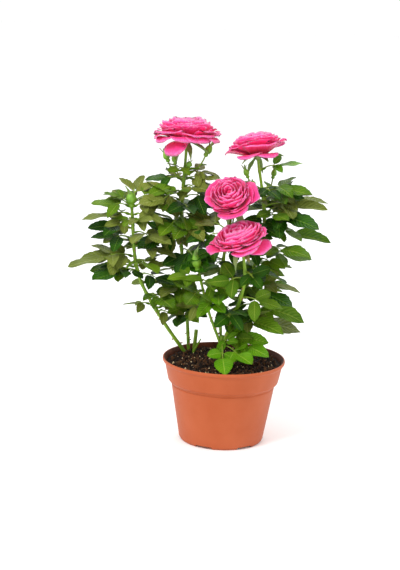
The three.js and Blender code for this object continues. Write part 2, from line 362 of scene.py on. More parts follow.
PETAL = petal_material((226, 14, 80), (250, 50, 130), (255, 116, 180))
POT_PLASTIC = mottled("terracotta_plastic", (168, 78, 36), (180, 90, 50), 9, 0.5, 0.5, 420, 0.05, 0.3)
# The pot's inner wall is painted darker: painted shade inside the pot.
POT_PAINTED_SHADE = mottled("stained_plastic", (104, 46, 22), (52, 24, 12), 70, 0.5, 0.6, 420, 0.08, 0.2)
PEAT = mottled("damp_peat", (20, 12, 8), (38, 24, 16), 160, 0.5, 0.82, 700, 0.6, 0.15)
BARK_BIT = mottled("bark_bits", (36, 21, 12), (90, 58, 32), 240, 0.5, 0.75, 900, 0.3, 0.15)
PALE_BIT = mottled("pale_bits", (206, 182, 142), (160, 118, 66), 260, 0.4, 0.8, 900, 0.2, 0.3)
CANE = mottled("green_cane", (128, 164, 34), (92, 132, 22), 55, 0.42, 0.45, 600, 0.12, 0.4)
STALK = mottled("leaf_stalk", (128, 160, 40), (104, 124, 30), 60, 0.45, 0.5, 900, 0.06)
PRICKLE = mottled("prickle", (170, 140, 84), (150, 92, 56), 220, 0.5, 0.5, 900, 0.04)
SEPAL = mottled("sepal_green", (132, 156, 88), (100, 130, 60), 90, 0.45, 0.6, 900, 0.08)
BUD_GREEN = mottled("bud_green", (118, 164, 34), (88, 134, 26), 120, 0.45, 0.5, 900, 0.08)
RIB = mottled("leaf_rib", (132, 160, 66), (108, 138, 46), 90, 0.4, 0.55, 900, 0.03)
UNDERSIDE = blade_material(
    "leaf_underside", (116, 134, 62), (98, 120, 44), (150, 164, 94), 0.66, 0.12, 0.3,
)
# Each spray takes one of these tints, from old glossy leaves to young ones.
TINTS = {
    tint: blade_material("leaf_" + tint, *look)
    for tint, look in {
        "dark": ((20, 60, 2), (44, 90, 6), (110, 148, 46), 0.34, 0.14, 0.45),
        "mid": ((62, 102, 6), (98, 132, 22), (150, 172, 64), 0.4, 0.12, 0.45),
        "olive": ((88, 102, 28), (120, 132, 52), (162, 172, 98), 0.44, 0.14, 0.4),
        "young": ((72, 130, 4), (108, 156, 16), (164, 194, 70), 0.38, 0.15, 0.4),
    }.items()
}


# ------------------------------------------------------------------ mesh helpers
def give(mesh, name, kind, domain, values):
    """Gives a mesh an attribute, with a value for each of its points, edges or faces."""
    field = "vector" if kind == "FLOAT_VECTOR" else "value"
    mesh.attributes.new(name, kind, domain).data.foreach_set(field, values)


class Heap:
    """Vertices, faces and a blade UV of one kind of thing, joined into one piece."""

    def __init__(self):
        self.points, self.faces, self.uvs, self.parts = [], [], [], []

    def add(self, points, faces, uvs=None, parts=None):
        first = len(self.points)
        self.points.extend(points)
        self.faces.extend(tuple(first + i for i in face) for face in faces)
        self.uvs.extend(uvs or [(0.0, 0.0)] * len(points))
        self.parts.extend(parts or [0] * len(faces))
        return self

    def mesh(self, name):
        """The heap as a mesh, with a sharp edge wherever two of its parts meet."""
        mesh = bpy.data.meshes.new(name)
        mesh.from_pydata([tuple(p) for p in self.points], [], self.faces)
        layer = mesh.uv_layers.new(name="blade")
        corners = [0] * len(mesh.loops)
        mesh.loops.foreach_get("vertex_index", corners)
        layer.data.foreach_set("uv", [v for i in corners for v in self.uvs[i]])
        mesh.polygons.foreach_set("use_smooth", [True] * len(mesh.polygons))
        give(mesh, "part", "INT", "FACE", self.parts)
        mesh.update()
        sides = {}
        for polygon, part in zip(mesh.polygons, self.parts):
            for key in polygon.edge_keys:
                sides.setdefault(key, set()).add(part)
        give(mesh, "sharp_edge", "BOOLEAN", "EDGE", [len(sides[edge.key]) > 1 for edge in mesh.edges])
        return mesh

    def piece(self, name, *materials):
        piece = add_object(name, self.mesh(name))
        for material in materials:
            piece.data.materials.append(material)
        piece.data.polygons.foreach_set("material_index", self.parts)
        return piece


def closed_sheet(rows, thickness, uv_rows):
    """A thin closed body from a grid of points: the sheet, and a second one under it that
    shares its edge. Returns points, faces and UVs."""
    count, width = len(rows), len(rows[0])
    points = [p for row in rows for p in row]
    uvs = [uv for row in uv_rows for uv in row]
    under = {}
    for i in range(1, count - 1):
        for j in range(1, width - 1):
            along = rows[i + 1][j] - rows[i - 1][j]
            across = rows[i][j + 1] - rows[i][j - 1]
            under[i, j] = len(points)
            points.append(rows[i][j] + along.cross(across).normalized() * thickness)
            uvs.append(uv_rows[i][j])
    faces = []
    for i in range(count - 1):
        for j in range(width - 1):
            square = ((i, j), (i, j + 1), (i + 1, j + 1), (i + 1, j))
            faces.append(tuple(a * width + b for a, b in square))
            faces.append(tuple(under.get(c, c[0] * width + c[1]) for c in reversed(square)))
    return points, faces, uvs


def ring_faces(rings, around, flip=False):
    """The faces that join rings of points into a closed body, or with flip the same faces turned
    to their other side."""
    faces = []
    for here in range(0, (rings - 1) * around, around):
        there = here + around
        for k in range(around):
            m = (k + 1) % around
            faces.append((here + k, here + m, there + m, there + k))
    faces.append(tuple(reversed(range(around))))
    faces.append(tuple((rings - 1) * around + k for k in range(around)))
    return [face[:1] + face[:0:-1] for face in faces] if flip else faces


def turned_body(profile, segments, wave=None, flip=False):
    """Points and faces of a closed body turned round Z from (radius, height) pairs."""
    points = []
    for radius, height in profile:
        for k in range(segments):
            angle = TURN * k / segments
            points.append(polar(angle, radius * (wave(angle, height) if wave else 1), height))
    return points, ring_faces(len(profile), segments, flip)


# ------------------------------------------------------------------ geometry node trees
def new_tree(name, **inputs):
    """A tree that takes and gives geometry. An underscore in an input stands for a space."""
    sockets = {"Geometry": "Geometry"}
    given = {label.replace("_", " "): sort for label, sort in inputs.items()}
    return new_group("Geometry", name, {**sockets, **given}, sockets)


def attribute(tree, name, kind):
    return add_node(tree, "GeometryNodeInputNamedAttribute", {"Name": name}, data_type=kind)


def realized(tree, geometry):
    return add_node(tree, "GeometryNodeRealizeInstances", {"Geometry": geometry})


def set_material(tree, geometry, material, selection=True):
    inputs = {"Geometry": geometry, "Material": material, "Selection": selection}
    return add_node(tree, "GeometryNodeSetMaterial", inputs)


def place_variants(tree, points, variants, index, euler, scale):
    """Puts the variant with each point's index on it, turned and sized."""
    kinds = {"Collection": variants, "Separate Children": True, "Reset Children": True}
    place = add_node(tree, "GeometryNodeInstanceOnPoints", {
        "Points": points,
        "Instance": add_node(tree, "GeometryNodeCollectionInfo", kinds),
        "Pick Instance": True,
        "Instance Index": index,
        "Rotation": add_node(tree, "FunctionNodeEulerToRotation", {"Euler": euler}),
        "Scale": scale,
    })
    return realized(tree, place)


def make_stem_tree():
    """Skins each line of points with a tube of its own thickness and roughens it like bark."""
    tree, given, result = new_tree(
        "skin the stems", Sides="Int", Relief="Float", Relief_Scale="Float", Bark="Material",
    )
    skin = add_node(tree, "GeometryNodeCurveToMesh", {
        "Curve": add_node(tree, "GeometryNodeMeshToCurve", {"Mesh": given["Geometry"]}),
        "Profile Curve": add_node(
            tree, "GeometryNodeCurvePrimitiveCircle", {"Resolution": given["Sides"], "Radius": 1.0},
        ),
        "Scale": attribute(tree, "thickness", "FLOAT"),
        "Fill Caps": True,
    })
    bark = add_node(tree, "ShaderNodeTexNoise", {"Scale": given["Relief Scale"]})
    swell = math_node(tree, "MULTIPLY", math_node(tree, "SUBTRACT", bark, 0.5), given["Relief"])
    push = add_node(tree, "ShaderNodeVectorMath", operation="SCALE")
    wire(tree, tree.nodes.new("GeometryNodeInputNormal"), push.inputs[0])
    wire(tree, swell, push.inputs["Scale"])
    rough = add_node(tree, "GeometryNodeSetPosition", {"Geometry": skin, "Offset": push})
    smooth = add_node(tree, "GeometryNodeSetShadeSmooth", {"Geometry": rough})
    wire(tree, set_material(tree, realized(tree, smooth), given["Bark"]), result["Geometry"])
    return tree


def make_placing_tree():
    """Puts the picked variant on each point, turned and sized by the point's own values."""
    labels = ("Upper Side", "Underside", "Rib")
    tree, given, result = new_tree(
        "place on points", Variants="Collection", Upper_Side="Material", Underside="Material", Rib="Material",
    )
    geometry = place_variants(
        tree, given["Geometry"], given["Variants"], attribute(tree, "pick", "INT"),
        attribute(tree, "turn", "FLOAT_VECTOR"), attribute(tree, "size", "FLOAT_VECTOR"),
    )
    for number, label in enumerate(labels):
        inputs = {2: attribute(tree, "part", "INT"), 3: number}
        same = add_node(tree, "FunctionNodeCompare", inputs, data_type="INT", operation="EQUAL")
        geometry = set_material(tree, geometry, given[label], same)
    wire(tree, geometry, result["Geometry"])
    return tree


def make_scatter_tree():
    """Strews variants over a surface, each with a random turn and size."""
    tree, given, result = new_tree(
        "strew over a surface", Variants="Collection", Kinds="Int", Density="Float", Smallest="Float",
        Largest="Float", Seed="Int", Material="Material",
    )

    def chance(kind, output, limits):
        """A random value, with its limits by the number of their inputs."""
        node = add_node(tree, "FunctionNodeRandomValue", limits, data_type=kind)
        wire(tree, given["Seed"], node.inputs["Seed"])
        return node.outputs[output]

    points = add_node(tree, "GeometryNodeDistributePointsOnFaces", {
        "Mesh": given["Geometry"], "Density": given["Density"], "Seed": given["Seed"],
    })
    geometry = place_variants(
        tree, points, given["Variants"], chance("INT", 2, {4: 0, 5: given["Kinds"]}),
        chance("FLOAT_VECTOR", 0, {1: (TURN,) * 3}),
        chance("FLOAT", 1, {2: given["Smallest"], 3: given["Largest"]}),
    )
    wire(tree, set_material(tree, geometry, given["Material"]), result["Geometry"])
    return tree


def grown(source, tree, name, **values):
    """Runs a tree on a source mesh with the named inputs, and keeps the result as a plain piece."""
    holder = add_object(name + "_source", source)
    modifier = holder.modifiers.new("grow", "NODES")
    modifier.node_group = tree
    sockets = {s.name: s.identifier for s in tree.interface.items_tree if s.in_out == "INPUT"}
    for label, value in values.items():
        modifier[sockets[label.replace("_", " ")]] = value
    mesh = modified_mesh(holder)
    bpy.data.objects.remove(holder)
    mesh.name = name
    return add_object(name, mesh)


def variant_collection(name, heaps):
    collection = bpy.data.collections.new(name)
    bpy.context.scene.collection.children.link(collection)
    for number, heap in enumerate(heaps):
        mesh = heap.mesh(f"{name}_{number}")
        collection.objects.link(bpy.data.objects.new(mesh.name, mesh))
    return collection


def discard(collection):
    for item in list(collection.objects):
        bpy.data.objects.remove(item)
    bpy.data.collections.remove(collection)


def points_mesh(name, places):
    """A mesh of bare points that carry turn, size and pick, from (matrix, size, pick) triples."""
    mesh = bpy.data.meshes.new(name)
    mesh.from_pydata([tuple(m.translation) for m, _, _ in places], [], [])
    give(mesh, "turn", "FLOAT_VECTOR", "POINT", [v for m, _, _ in places for v in m.to_euler()])
    give(mesh, "size", "FLOAT_VECTOR", "POINT", [v for _, size, _ in places for v in size])
    give(mesh, "pick", "INT", "POINT", [pick for _, _, pick in places])
    return mesh


def lines_mesh(name, stems):
    """A mesh of open lines that carry a thickness, from lists of (point, radius)."""
    points, edges, radii = [], [], []
    for stem in stems:
        first = len(points)
        points.extend(tuple(p) for p, _ in stem)
        radii.extend(r for _, r in stem)
        edges.extend((first + i, first + i + 1) for i in range(len(stem) - 1))
    mesh = bpy.data.meshes.new(name)
    mesh.from_pydata(points, edges, [])
    give(mesh, "thickness", "FLOAT", "POINT", radii)
    return mesh


STEM_TREE = make_stem_tree()
PLACING_TREE = make_placing_tree()
SCATTER_TREE = make_scatter_tree()

# ------------------------------------------------------------------ pot
POT = {
    "collar_height": 22 * MM, "shoulder_drop": 4 * MM, "lip_height": 3.5 * MM, "wall": 1.5 * MM,
    "collar_top": 57.8 * MM, "collar_foot": 54 * MM, "body_top": 50.6 * MM, "foot": 41.4 * MM,
    "floor": 3.2 * MM, "recess": 1.8 * MM, "foot_ring": 5 * MM, "boss": 8 * MM,
}
POT_SEGMENTS = 216
POT_EDGE = 1.4 * MM
FOOT_EDGE = 1.5 * MM
MIDDLE_HOLE = 0.2 * MM
NOTCHES = {"count": 6, "width": 17 * MM, "height": 2.4 * MM, "reach": 9 * MM, "first": math.radians(-114)}
DRAINS = {"count": 6, "radius": 4 * MM, "ring": 22 * MM}


def rounded(profile, radius):
    """A profile with each corner eased by a short curve of about the given radius."""
    points = [Vector(p) for p in profile]
    eased = [points[0]]
    for before, corner, after in zip(points, points[1:], points[2:]):
        reach_in = min(radius, (corner - before).length * 0.45)
        reach_out = min(radius, (after - corner).length * 0.45)
        start = corner + (before - corner).normalized() * reach_in
        end = corner + (after - corner).normalized() * reach_out
        eased.extend(curve(start, corner, end, t) for t in (0, 0.25, 0.5, 0.75, 1))
    eased.append(points[-1])
    return eased


def pot_profile(rim, height):
    """Half section of the pot, from the middle of its underside out, up and back inside. Under the
    collar the body draws in to a narrow cove, which keeps the join in shade."""
    collar = height - POT["collar_height"]
    shoulder = collar - POT["shoulder_drop"]
    lip = height - POT["lip_height"]
    body, foot, wall, recess = POT["body_top"], POT["foot"], POT["wall"], POT["recess"]
    ring_out = foot - FOOT_EDGE
    ring_in = ring_out - POT["foot_ring"]
    underside = [
        (MIDDLE_HOLE, 0), (POT["boss"], 0), (POT["boss"] + 1 * MM, recess), (ring_in - 1 * MM, recess),
        (ring_in, 0), (ring_out, 0), (foot, 2 * MM),
    ]
    cove = [
        (body, shoulder - 0.5 * MM), (body - 0.7 * MM, shoulder + 0.2 * MM),
        (body + 0.3 * MM, shoulder + 1.1 * MM), (body + 1.2 * MM, collar - 1.3 * MM),
    ]
    top = [
        (POT["collar_foot"], collar), (POT["collar_top"], lip - 1 * MM), (rim, lip + 0.4 * MM),
        (rim, height), (rim - wall, height), (POT["collar_top"] - wall, lip),
    ]
    inside = [
        (POT["collar_foot"] - wall, collar), (body - wall, shoulder), (foot - wall, POT["floor"]),
        (MIDDLE_HOLE, POT["floor"]),
    ]
    return underside + cove + top + inside


def is_inside(points, face):
    """Whether a face of the pot looks in at the compost, where the wall takes a darker finish as painted
    shade.
    """
    a, b, c = (points[i] for i in face[:3])
    facing = (b - a).cross(c - a)
    return a.z > POT["floor"] and facing.x * a.x + facing.y * a.y < 0 and abs(facing.z) < 0.9 * facing.length


def notched(points):
    """Lifts the foot of the pot's wall where its notches are."""
    step = TURN / NOTCHES["count"]
    for p in points:
        radius = math.hypot(p.x, p.y)
        angle = math.atan2(p.y, p.x) - NOTCHES["first"]
        off = abs((angle + step / 2) % step - step / 2) * radius
        if radius > POT["foot"] - NOTCHES["reach"] and off < NOTCHES["width"] / 2:
            p.z = max(p.z, NOTCHES["height"])


def make_pot():
    low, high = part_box("pot")
    profile = rounded(pot_profile((high.x - low.x) / 2, high.z - low.z), POT_EDGE)
    points, faces = turned_body([(p.x, p.y) for p in profile], POT_SEGMENTS)
    notched(points)
    # Faces that look in at the compost take the darker finish: painted shade.
    painted_shade_faces = [int(is_inside(points, face)) for face in faces]
    pot = Heap().add(points, faces, parts=painted_shade_faces).piece("pot_shell", POT_PLASTIC, POT_PAINTED_SHADE)
    drills = Heap()
    for k in range(DRAINS["count"]):
        at = polar(TURN * k / DRAINS["count"], DRAINS["ring"])
        points, faces = turned_body([(DRAINS["radius"], -3 * MM), (DRAINS["radius"], 8 * MM)], 24)
        drills.add([p + at for p in points], faces)
    drill = drills.piece("drain_drills", POT_PLASTIC)
    cut = pot.modifiers.new("drains", "BOOLEAN")
    cut.operation = "DIFFERENCE"
    cut.solver = "EXACT"
    cut.object = drill
    mesh = modified_mesh(pot)
    pot.modifiers.clear()
    pot.data = mesh
    bpy.data.objects.remove(drill)
    return pot


# ------------------------------------------------------------------ compost
CRUMB_KINDS = 4
COMPOST_RINGS = 34
COMPOST_AROUND = 120
COMPOST_SKIRT = 5 * MM
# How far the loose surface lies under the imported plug's top, and how much lower still at its edge.
COMPOST_DROP = 0.6 * MM
EDGE_DROP = 1.2 * MM
WALL_GAP = 0.6 * MM
# How close together its bumps are, and how high.
COMPOST_BUMPS = ((160, 1.1 * MM), (420, 0.8 * MM))
# Each kind of crumb: its finish, stretch, count to the square metre, smallest and largest size in
# millimetres, and seed.
CRUMBS = {
    "peat_crumbs": (PEAT, 1.2, 2.6e5, 1.3, 3.4, 5),
    "bark_crumbs": (BARK_BIT, 2.4, 6.0e4, 1.4, 3.8, 11),
    "pale_crumbs": (PALE_BIT, 2.0, 2.4e4, 0.8, 2.3, 17),
}


def lump(rng, stretch):
    """One angular crumb about a millimetre across."""
    profile = [(0.25, -0.5), (0.5, -0.2), (0.45, 0.25), (0.2, 0.5)]
    points, faces = turned_body(profile, 6, lambda angle, height: 0.75 + 0.5 * rng.random())
    return Heap().add([Vector((p.x * stretch, p.y, p.z * 0.8)) * MM for p in points], faces)


def compost_surface(top):
    """The uneven top of the compost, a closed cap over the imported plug."""
    radius = POT["collar_top"] - POT["wall"] - WALL_GAP
    profile = [(MIDDLE_HOLE + radius * i / COMPOST_RINGS, 0) for i in range(COMPOST_RINGS + 1)]
    skirt = (profile[-1][0], -COMPOST_SKIRT)
    points, faces = turned_body(profile + [skirt], COMPOST_AROUND, flip=True)
    for p in points:
        if p.z < 0:
            p.z += top
            continue
        bumps = sum(noise.noise(p * scale) * height for scale, height in COMPOST_BUMPS)
        edge = (math.hypot(p.x, p.y) / radius) ** 6 * EDGE_DROP
        p.z = top - COMPOST_DROP + bumps - edge
    return Heap().add(points, faces)


def surface_disc(surface):
    """Only the upward faces of the compost's top, clear of the pot's wall, to strew crumbs on."""
    mesh = surface.mesh("crumb_ground")
    reach = POT["collar_foot"] - 2.5 * MM
    keep = [tuple(f.vertices) for f in mesh.polygons if f.normal.z > 0.5 and f.center.xy.length < reach]
    points = [tuple(v.co) for v in mesh.vertices]
    ground = bpy.data.meshes.new("crumb_ground_top")
    ground.from_pydata(points, [], keep)
    bpy.data.meshes.remove(mesh)
    return ground


def make_compost():
    slots = frame["nodes"]["compost"].data.materials
    slots.clear()
    slots.append(PEAT)
    surface = compost_surface(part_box("compost")[1].z)
    pieces = [surface.piece("compost_top", PEAT)]
    for name, (material, stretch, density, smallest, largest, seed) in CRUMBS.items():
        rng = random.Random(seed)
        kinds = variant_collection(name + "_kind", [lump(rng, stretch) for _ in range(CRUMB_KINDS)])
        pieces.append(grown(
            surface_disc(surface), SCATTER_TREE, name, Variants=kinds, Kinds=CRUMB_KINDS - 1,
            Density=density, Smallest=smallest, Largest=largest, Seed=seed, Material=material,
        ))
        discard(kinds)
    return pieces


# ------------------------------------------------------------------ canes
CANES = ("cane_left", "cane_tall", "stock", "cane_centre", "cane_front", "cane_right", "cane_mid")
SLICE_STEP = 3.5 * MM
# The first and last slices are this far in from a cane's ends.
SLICE_INSET = 2 * MM
PAST_FOOT = 6 * MM
PAST_TIP = 3 * MM
# A cane's thickness between leaf joints, and what each joint and all of them together may add, as
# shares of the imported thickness.
CANE_SLIMMING = 0.78
JOINT_SWELL = 0.2
MOST_SWELL = 0.3
JOINT_LENGTH = 2.2 * MM


def slice_at(mesh, height):
    """Middle and mean radius of a limb's section at a height."""
    total, middle, cuts = 0.0, Vector(), []
    for face in mesh.polygons:
        corners = [mesh.vertices[i].co for i in face.vertices]
        crossing = []
        for a, b in zip(corners, corners[1:] + corners[:1]):
            if (a.z - height) * (b.z - height) < 0:
                crossing.append(a.lerp(b, (height - a.z) / (b.z - a.z)))
        if len(crossing) == 2:
            length = (crossing[1] - crossing[0]).length
            middle += (crossing[0] + crossing[1]) / 2 * length
            total += length
            cuts.append((crossing[0] + crossing[1]) / 2)
    if not cuts or total == 0:
        return None
    middle /= total
    return middle, sum((c - middle).length for c in cuts) / len(cuts)


def centreline(name):
    """(point, radius) pairs up the middle of a packed cane, carried a little past both ends."""
    low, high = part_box(name)
    mesh = frame["nodes"][name].data
    span = high.z - low.z - 2 * SLICE_INSET
    count = max(3, round(span / SLICE_STEP))
    slices = (slice_at(mesh, low.z + SLICE_INSET + span * i / count) for i in range(count + 1))
    line = [cut for cut in slices if cut]
    for _ in range(2):
        inner = [((a[0] + b[0] * 2 + c[0]) / 4, (a[1] + b[1] * 2 + c[1]) / 4)
                 for a, b, c in zip(line, line[1:], line[2:])]
        line = [line[0]] + inner + [line[-1]]
    foot = (line[0][0] - line[2][0]).normalized()
    tip = (line[-1][0] - line[-3][0]).normalized()
    line.insert(0, (line[0][0] + foot * PAST_FOOT, line[0][1]))
    line.append((line[-1][0] + tip * PAST_TIP, line[-1][1]))
    return line


LINES = {name: centreline(name) for name in CANES}


def station(name, height):
    """Point, direction and radius of a cane at a height."""
    line = LINES[name]
    i = min(range(1, len(line) - 1), key=lambda k: abs(line[k][0].z - height))
    return line[i][0], (line[i + 1][0] - line[i - 1][0]).normalized(), line[i][1]


def swollen(line, heights, rng):
    """The cane with a swelling at each leaf joint and small unevenness between them."""
    stem = []
    for point, radius in line:
        swell = sum(JOINT_SWELL * math.exp(-(((point.z - h) / JOINT_LENGTH) ** 2)) for h in heights)
        stem.append((point, radius * (CANE_SLIMMING + 0.07 * rng.random() + min(swell, MOST_SWELL))))
    return stem


def fine_line(line, step=1.4 * MM):
    """A line refilled with closer points."""
    dense = []
    for (a, ra), (b, rb) in zip(line, line[1:]):
        pieces = max(1, round((b - a).length / step))
        dense.extend((a.lerp(b, i / pieces), ra + (rb - ra) * i / pieces) for i in range(pieces))
    return dense + [line[-1]]


# ------------------------------------------------------------------ leaflets
LEAF_STATIONS = 12
RIB_STATIONS = 3
LEAF_THICKNESS = 0.008
# Each kind of leaflet: its width, fold, arch, wave and the wave's phase.
LEAFLET_KINDS = [
    (0.56, 0.30, 0.10, 0.012, 0.0), (0.60, 0.18, 0.20, 0.020, 0.3), (0.52, 0.50, 0.06, 0.015, 0.6),
    (0.64, 0.10, 0.12, 0.026, 0.1), (0.58, 0.36, 0.28, 0.018, 0.8), (0.62, 0.24, 0.02, 0.024, 0.5),
]
SEPAL_KINDS = [(0.27, 0.6, 0.12, 0.03, 0.2), (0.21, 0.8, 0.38, 0.04, 0.6)]
LEAFLET_TEETH = 0.055
SEPAL_TEETH = 0.04


def blade_width(t):
    """Half width of a rose leaflet along its length, for a full width of 1."""
    return 0.5 * math.sin(math.pi * min(1, 0.03 + 0.97 * t) ** 0.88) ** 0.68 * (1 - 0.12 * t ** 3)


def leaflet(width, fold, arch, wave, phase, teeth=LEAFLET_TEETH):
    """A blade of length 1 along X: serrated, folded up along its midrib, arched and wavy. Each
    station has a point on either edge, one on the midrib and one just under it."""
    points, uvs = [Vector((0, 0, 0))], [(0.5, 0.0)]
    for k in range(1, LEAF_STATIONS):
        t = k / LEAF_STATIONS
        rib = -arch * t * t
        for s in (1, 0, -1):
            y = s * width * blade_width(t) * (1 - teeth * (k % 2))
            x = t + (0.018 if s and k % 2 == 0 else 0)
            ripple = wave * abs(s) * math.sin(TURN * (1.6 * t + phase) + 1.3 * s)
            points.append(Vector((x, y, rib + fold * abs(y) * (1 - 0.3 * abs(y) / width) + ripple)))
            uvs.append((0.5 - 0.5 * s, t))
        points.append(Vector((t, 0, rib - LEAF_THICKNESS)))
        uvs.append((0.5, t))
    points.append(Vector((1, 0, -arch)))
    uvs.append((0.5, 1.0))
    tip = len(points) - 1
    faces, parts = [], []
    for part, a, b, edge_first in ((0, 0, 1, True), (0, 1, 2, False), (1, 2, 3, True), (1, 3, 0, False)):
        faces.append((0, 1 + b, 1 + a))
        faces.append((tip, tip - 4 + a, tip - 4 + b))
        for k in range(LEAF_STATIONS - 2):
            here, there = 1 + 4 * k, 5 + 4 * k
            near, far = (here + a, here + b), (there + b, there + a)
            if edge_first:
                faces.extend(((*near, far[0]), (near[0], *far)))
            else:
                faces.extend(((*near, far[1]), (near[1], *far)))
        parts.extend([part] * (2 * LEAF_STATIONS - 2))
    heap = Heap().add(points, faces, uvs, parts)
    add_rib(heap, arch)
    return heap


def add_rib(heap, arch):
    """The raised midrib under a blade, a thin three-sided rod."""
    ring = []
    for k in range(RIB_STATIONS):
        t = 0.9 * k / (RIB_STATIONS - 1)
        size = 0.018 * (1 - 0.8 * t)
        at = Vector((t, 0, -arch * t * t - 0.4 * LEAF_THICKNESS))
        ring.extend(at + Vector((0, y, z)) * size for y, z in ((-1, 0), (1, 0), (0, -1.4)))
    faces = ring_faces(RIB_STATIONS, 3, flip=True)
    heap.add(ring, faces, parts=[2] * len(faces))


# ------------------------------------------------------------------ compound leaves
END_LEAFLET = {"share": 0.56, "least": 15 * MM, "most": 38 * MM}
RACHIS_STEPS = 10
STIPULE = 6 * MM
LATERAL_SWING = (52, 80)


class Foliage:
    """Collects stalks and leaflet places as the leaves grow."""

    def __init__(self):
        self.stalks = []
        self.places = {tint: [] for tint in TINTS}
        self.joints = {name: [] for name in LINES}
        self.nodes = {tint: [] for tint in TINTS}

    def blade(self, tint, at, forward, normal, length, rng, spread=1.0):
        size = Vector((length, length * spread, length))
        self.places[tint].append((axes(forward, normal, at), size, rng.randrange(len(LEAFLET_KINDS))))

    def leaf(self, cane, height, tip, normal, breadth, tint, pairs, rng, spread=1.0, scale=1.0):
        """One compound leaf from a cane out to a tip: stalk, end leaflet and paired leaflets."""
        foot, upward, radius = station(cane, height)
        ahead = (tip - foot).normalized()
        length = (tip - foot).length
        start = foot + ahead * radius * 0.5
        bend = foot + (upward * 0.35 + ahead * 0.8) * length * 0.3
        end = min(max(END_LEAFLET["share"] * length, END_LEAFLET["least"]), END_LEAFLET["most"]) * scale
        rachis_end = tip - ahead * end
        shares = [i / RACHIS_STEPS for i in range(RACHIS_STEPS + 1)]
        line = [(curve(start, bend, rachis_end, t), (0.85 - 0.4 * t) * MM) for t in shares]
        self.stalks.append(line)
        self.joints[cane].append(foot.z)
        side = normal.cross(ahead).normalized()
        last = (line[-1][0] - line[-3][0]).normalized()
        self.blade(tint, rachis_end, (ahead * 0.8 + last * 0.2) + side * rng.uniform(-0.15, 0.15),
                   normal + side * rng.uniform(-0.4, 0.4), end, rng, spread)
        for pair in range(pairs):
            share = 1 - (0.85 * pair + 0.34) * (0.75 * end / max((rachis_end - start).length, 1e-4))
            point = line[round(min(max(share, 0.3), 0.97) * RACHIS_STEPS)][0]
            size = min(end * (0.93 - 0.12 * pair), breadth * 0.64)
            for hand in (1, -1):
                swing = math.radians(rng.uniform(*LATERAL_SWING))
                forward = ahead * math.cos(swing) + side * hand * math.sin(swing)
                forward += normal * rng.uniform(-0.45, 0.3)
                lift = normal + ahead * rng.uniform(-0.5, 0.4) - side * hand * rng.uniform(-0.2, 0.4)
                petiolule = point + forward * 1.5 * MM
                self.stalks.append([(point, 0.4 * MM), (petiolule, 0.35 * MM)])
                self.blade(tint, petiolule, forward, lift, size * rng.uniform(0.88, 1.05), rng, spread)
        for hand in (1, -1):
            forward = ahead * 0.85 + side * hand * 0.3 + upward * 0.3
            self.blade("young", start + ahead * 1 * MM, forward, side * hand + ahead * 0.2, STIPULE, rng, 0.5)


# The cane each family of leaf masses hangs on, and the tint of each mass. A star gives its leaf
# five leaflets in place of three, and a plus gives it a companion leaf beside it.
FAMILIES = {
    "leaves_left": ("cane_left", "mid olive olive olive olive olive+ olive* mid+ dark mid* mid"),
    "leaves_tall": ("cane_tall", "dark olive olive+ mid olive+ dark dark*+ dark mid*+ olive*+ dark+"),
    "leaves_mid": ("cane_mid", "mid+"),
    "leaves_centre": ("cane_centre", "olive+ dark+ mid*+ young+ dark+"),
    "leaves_right": (
        "cane_right",
        "young mid* olive* dark*+ dark mid* mid mid dark olive mid*+ dark* mid mid* olive dark*+",
    ),
    "leaves_low": ("stock", "young young young"),
}
# Families whose leaves spread nearly level.
LEVEL_FAMILIES = ("leaves_left", "leaves_right")
# How far their tips may hang below their joints.
MOST_DROOP = 4 * MM
# How much broader and shorter than the rest the lowest, youngest leaflets are.
LOW_LEAFLETS = (1.4, 0.8)


def mass_shape(name, line):
    """How a leaf mass lies: its joint on the cane, its tip, its face and its breadth."""
    points = [v.co.copy() for v in frame["nodes"][name].data.vertices]
    middle = sum(points, Vector()) / len(points)
    joint = min((p for p, _ in line[2:-2]), key=lambda p: min((p - q).length for q in points))
    ahead = (middle - joint).normalized()
    reach = max((p - joint).dot(ahead) for p in points)
    spread = Matrix(((0, 0, 0),) * 3)
    for p in points:
        d = p - middle
        spread += Matrix([[d[i] * d[k] for k in range(3)] for i in range(3)])
    normal = flattest(spread)
    side = normal.cross(ahead).normalized()
    across = [(p - middle).dot(side) for p in points]
    return joint, joint + ahead * reach, normal, max(across) - min(across)


def flattest(spread):
    """The direction in which a set of points is thinnest, facing up, by repeated solving."""
    eased = spread + Matrix.Identity(3) * (spread[0][0] + spread[1][1] + spread[2][2]) * 1e-4
    inverse = eased.inverted()
    direction = Vector((0.1, -0.3, 1))
    for _ in range(40):
        direction = (inverse @ direction).normalized()
    return direction if direction.z > 0 else -direction


def grow_foliage(foliage):
    for family, (cane, tints) in FAMILIES.items():
        for number, mark in enumerate(tints.split(), 1):
            name = f"{family}_{number}"
            tint = mark.rstrip("*+")
            rng = random.Random(f"{name} leaf")
            joint, tip, normal, breadth = mass_shape(name, LINES[cane])
            if family in LEVEL_FAMILIES:
                normal = (normal + UP * 1.3).normalized()
                tip.z = max(tip.z, joint.z - MOST_DROOP)
            foliage.nodes[tint].append(name)
            spread, scale = LOW_LEAFLETS if family == "leaves_low" else (1.0, 1.0)
            pairs = 2 if "*" in mark else 1
            foliage.leaf(cane, joint.z, tip, normal, breadth, tint, pairs, rng, spread, scale)
            if "+" in mark:
                companion(foliage, cane, joint, tip, normal, breadth, tint, rng)


